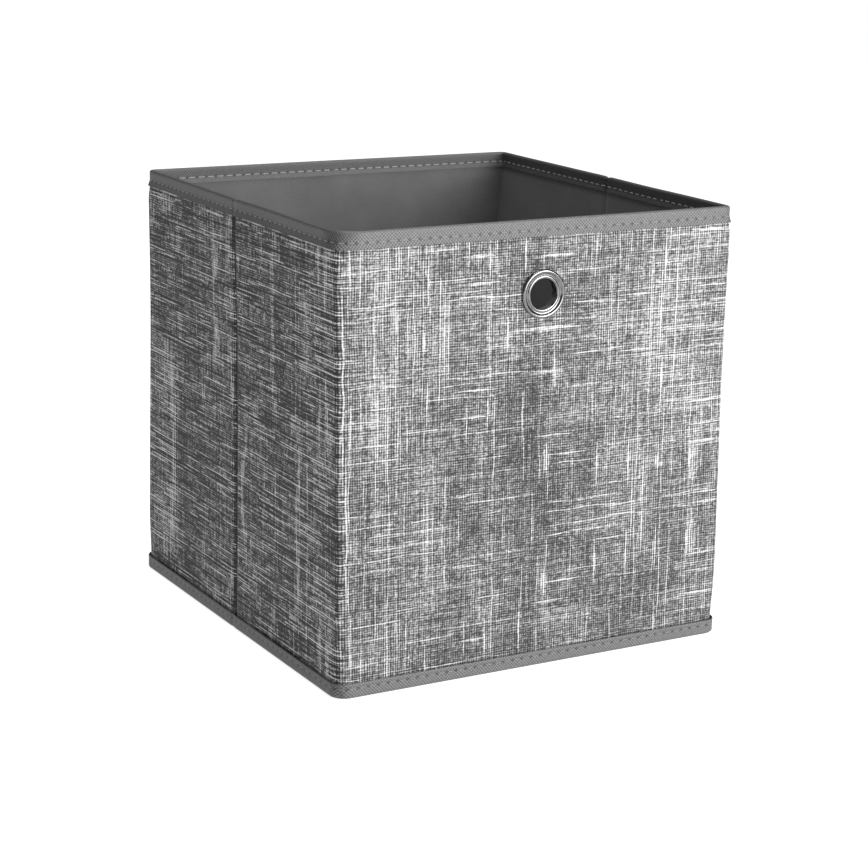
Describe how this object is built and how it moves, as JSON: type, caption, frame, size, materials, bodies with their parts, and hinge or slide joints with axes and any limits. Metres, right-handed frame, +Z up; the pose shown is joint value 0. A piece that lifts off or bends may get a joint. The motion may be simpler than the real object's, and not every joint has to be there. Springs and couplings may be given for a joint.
{
  "type": "foldable fabric storage bin",
  "caption": "Open-topped cube of printed linen-look fabric over cardboard, with taped edges, a metal finger hole and a covered base board; its side walls fold inward.",
  "frame": {"origin": "centre of the footprint, on the plane that the bin stands on", "axes": "+Z up, the front wall with the finger hole faces -Y, +X to the right seen from the front"},
  "size_m": [0.302, 0.302, 0.3],
  "materials": {
    "printed_fabric": "matte",
    "binding_tape": "matte",
    "lining_fabric": "matte",
    "wall_board": "matte",
    "eyelet_metal": "polished"
  },
  "bodies": {
    "front": {"front_outer_fabric": "printed_fabric", "front_lining": "lining_fabric", "front_top_binding": "binding_tape", "front_bottom_binding": "binding_tape", "front_board": "wall_board", "eyelet": "eyelet_metal", "eyelet_washer": "eyelet_metal", "floor_cloth": "lining_fabric"},
    "back": {"back_outer_fabric": "printed_fabric", "back_lining": "lining_fabric", "back_top_binding": "binding_tape", "back_bottom_binding": "binding_tape", "back_board": "wall_board"},
    "left_front": {"left_front_outer_fabric": "printed_fabric", "left_front_lining": "lining_fabric", "left_front_top_binding": "binding_tape", "left_front_bottom_binding": "binding_tape", "left_front_board": "wall_board"},
    "left_rear": {"left_rear_outer_fabric": "printed_fabric", "left_rear_lining": "lining_fabric", "left_rear_top_binding": "binding_tape", "left_rear_bottom_binding": "binding_tape", "left_rear_board": "wall_board"},
    "right_front": {"right_front_outer_fabric": "printed_fabric", "right_front_lining": "lining_fabric", "right_front_top_binding": "binding_tape", "right_front_bottom_binding": "binding_tape", "right_front_board": "wall_board"},
    "right_rear": {"right_rear_outer_fabric": "printed_fabric", "right_rear_lining": "lining_fabric", "right_rear_top_binding": "binding_tape", "right_rear_bottom_binding": "binding_tape", "right_rear_board": "wall_board"},
    "base_insert": {"insert_board": "wall_board", "insert_cover": "lining_fabric"}
  },
  "joints": [
    {"name": "fold", "type": "hinge", "parent": "front", "child": "left_front", "pos_m": [-0.1422, -0.1374, 0.15], "axis": [0, 0, -1], "range_deg": [0, 89.5], "deforming": ["floor_cloth", "insert_board", "insert_cover"]},
    {"name": "left_crease", "type": "hinge", "parent": "left_front", "child": "left_rear", "pos_m": [-0.1515, 0, 0.15], "axis": [0, 0, 1], "range_deg": [0, 179]},
    {"name": "back_left_corner", "type": "hinge", "parent": "left_rear", "child": "back", "pos_m": [-0.1422, 0.1374, 0.15], "axis": [0, 0, -1], "range_deg": [0, 89.5]},
    {"name": "front_right_corner", "type": "hinge", "parent": "front", "child": "right_front", "pos_m": [0.1422, -0.1374, 0.15], "axis": [0, 0, 1], "range_deg": [0, 89.5]},
    {"name": "back_right_corner", "type": "hinge", "parent": "back", "child": "right_rear", "pos_m": [0.1422, 0.1374, 0.15], "axis": [0, 0, -1], "range_deg": [0, 89.5]},
    {"name": "insert_tip", "type": "hinge", "parent": "front", "child": "base_insert", "pos_m": [0, -0.1404, 0.0045], "axis": [1, 0, 0], "range_deg": [0, 89.5]}
  ],
  "couplings": [
    {"joint": "left_crease", "follows": "fold", "ratio": 2},
    {"joint": "back_left_corner", "follows": "fold", "ratio": 1},
    {"joint": "front_right_corner", "follows": "fold", "ratio": 1},
    {"joint": "back_right_corner", "follows": "fold", "ratio": 1},
    {"joint": "insert_tip", "follows": "fold", "ratio": 1}
  ]
}
